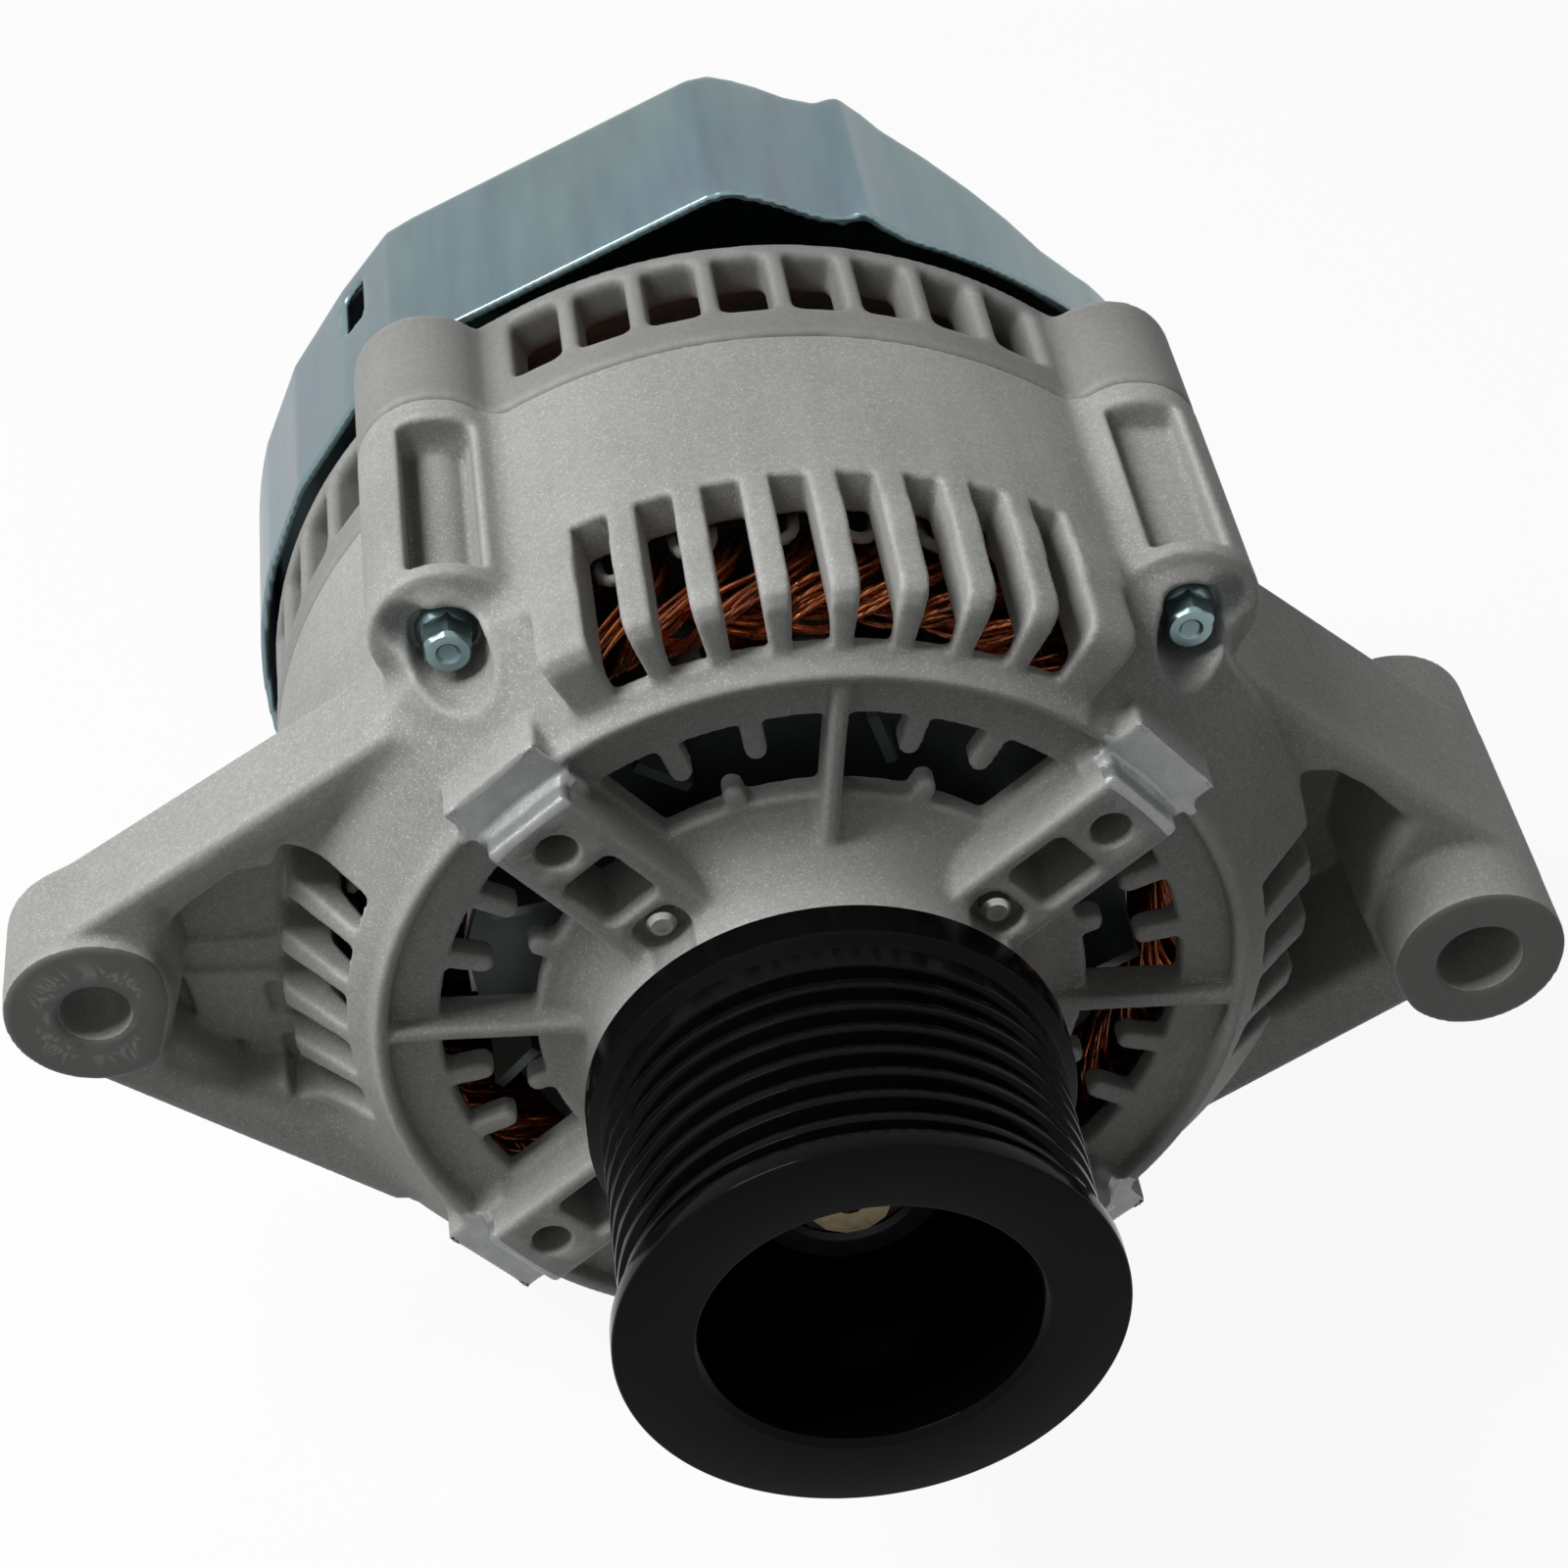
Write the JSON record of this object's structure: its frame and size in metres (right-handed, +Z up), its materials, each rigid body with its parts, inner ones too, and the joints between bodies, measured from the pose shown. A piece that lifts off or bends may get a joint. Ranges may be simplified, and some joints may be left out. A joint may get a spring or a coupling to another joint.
{
  "type": "alternator",
  "caption": "Belt-driven alternator with a vented cast drive-end bracket, two bolting ears, a ribbed belt pulley, claw-pole rotor, wound stator and a sheet rear cover.",
  "frame": {"origin": "centre of the rear cover's flat back, on the shaft's axis", "axes": "+Y along the shaft, out of the flat back and away from the pulley; +Z up, towards the raised lug of the cover; +X towards the ear with the through bolt hole"},
  "size_m": [0.1977, 0.18, 0.1387],
  "materials": {
    "cast_bracket": "rough sand-cast, sparkly",
    "cast_rear_bracket": "smoother die-cast",
    "zinc_plate": "bluish bright zinc plate",
    "black_coating": "black semi-gloss",
    "bright_steel": "turned",
    "dark_steel": "dark oxide",
    "copper": "enamelled copper wire, glossy",
    "black_plastic": "moulded, matt",
    "carbon_brush": "carbon",
    "plate_aluminium": "pressed sheet"
  },
  "bodies": {
    "housing": {"bearing_retainer": "bright_steel", "brush_holder": "black_plastic", "cover_nut_1": "zinc_plate", "cover_nut_2": "zinc_plate", "cover_nut_3": "zinc_plate", "cover_stud_1": "bright_steel", "cover_stud_2": "bright_steel", "cover_stud_3": "bright_steel", "drive_end_bracket": "cast_bracket", "front_bearing_outer_ring": "bright_steel", "front_brush_spring": "bright_steel", "front_end_winding": "copper", "heat_sink_spacer_1": "black_plastic", "heat_sink_spacer_2": "black_plastic", "heat_sink_spacer_3": "black_plastic", "negative_diode_1": "dark_steel", "negative_diode_2": "dark_steel", "negative_diode_3": "dark_steel", "negative_heat_sink": "plate_aluminium", "output_terminal": "bright_steel", "positive_diode_1": "dark_steel", "positive_diode_2": "dark_steel", "positive_diode_3": "dark_steel", "positive_heat_sink": "plate_aluminium", "rear_bearing_outer_ring": "bright_steel", "rear_bracket": "cast_rear_bracket", "rear_brush_spring": "bright_steel", "rear_cover": "zinc_plate", "rear_end_winding": "copper", "retainer_screw_1": "bright_steel", "retainer_screw_2": "bright_steel", "retainer_screw_3": "bright_steel", "retainer_screw_4": "bright_steel", "stator_core": "dark_steel", "terminal_bush": "black_plastic", "terminal_nut": "zinc_plate", "through_bolt_1": "zinc_plate", "through_bolt_2": "zinc_plate", "through_bolt_3": "zinc_plate", "through_bolt_4": "zinc_plate", "voltage_regulator": "black_plastic"},
    "rotor": {"claw_pole_front": "bright_steel", "claw_pole_rear": "bright_steel", "field_coil": "copper", "front_bearing_inner_ring": "bright_steel", "front_fan": "zinc_plate", "front_slip_ring": "copper", "pulley": "black_coating", "pulley_nut": "dark_steel", "pulley_spacer": "bright_steel", "rear_bearing_inner_ring": "bright_steel", "rear_fan": "zinc_plate", "rear_slip_ring": "copper", "rotor_shaft": "bright_steel", "slip_ring_sleeve": "black_plastic"},
    "front_brush_slide": {"front_brush": "carbon_brush"},
    "rear_brush_slide": {"rear_brush": "carbon_brush"}
  },
  "joints": [
    {"name": "rotor_spin", "type": "hinge", "parent": "housing", "child": "rotor", "pos_m": [0, -0.064, 0], "axis": [0, 1, 0], "continuous": true},
    {"name": "front_brush_travel", "type": "slide", "parent": "housing", "child": "front_brush_slide", "axis": [0, 0, 1], "range_m": [0, 0.004], "stiffness_N_per_m": 300, "springref_m": -0.004, "deforming": ["front_brush_spring"]},
    {"name": "rear_brush_travel", "type": "slide", "parent": "housing", "child": "rear_brush_slide", "axis": [0, 0, 1], "range_m": [0, 0.004], "stiffness_N_per_m": 300, "springref_m": -0.004, "deforming": ["rear_brush_spring"]}
  ]
}
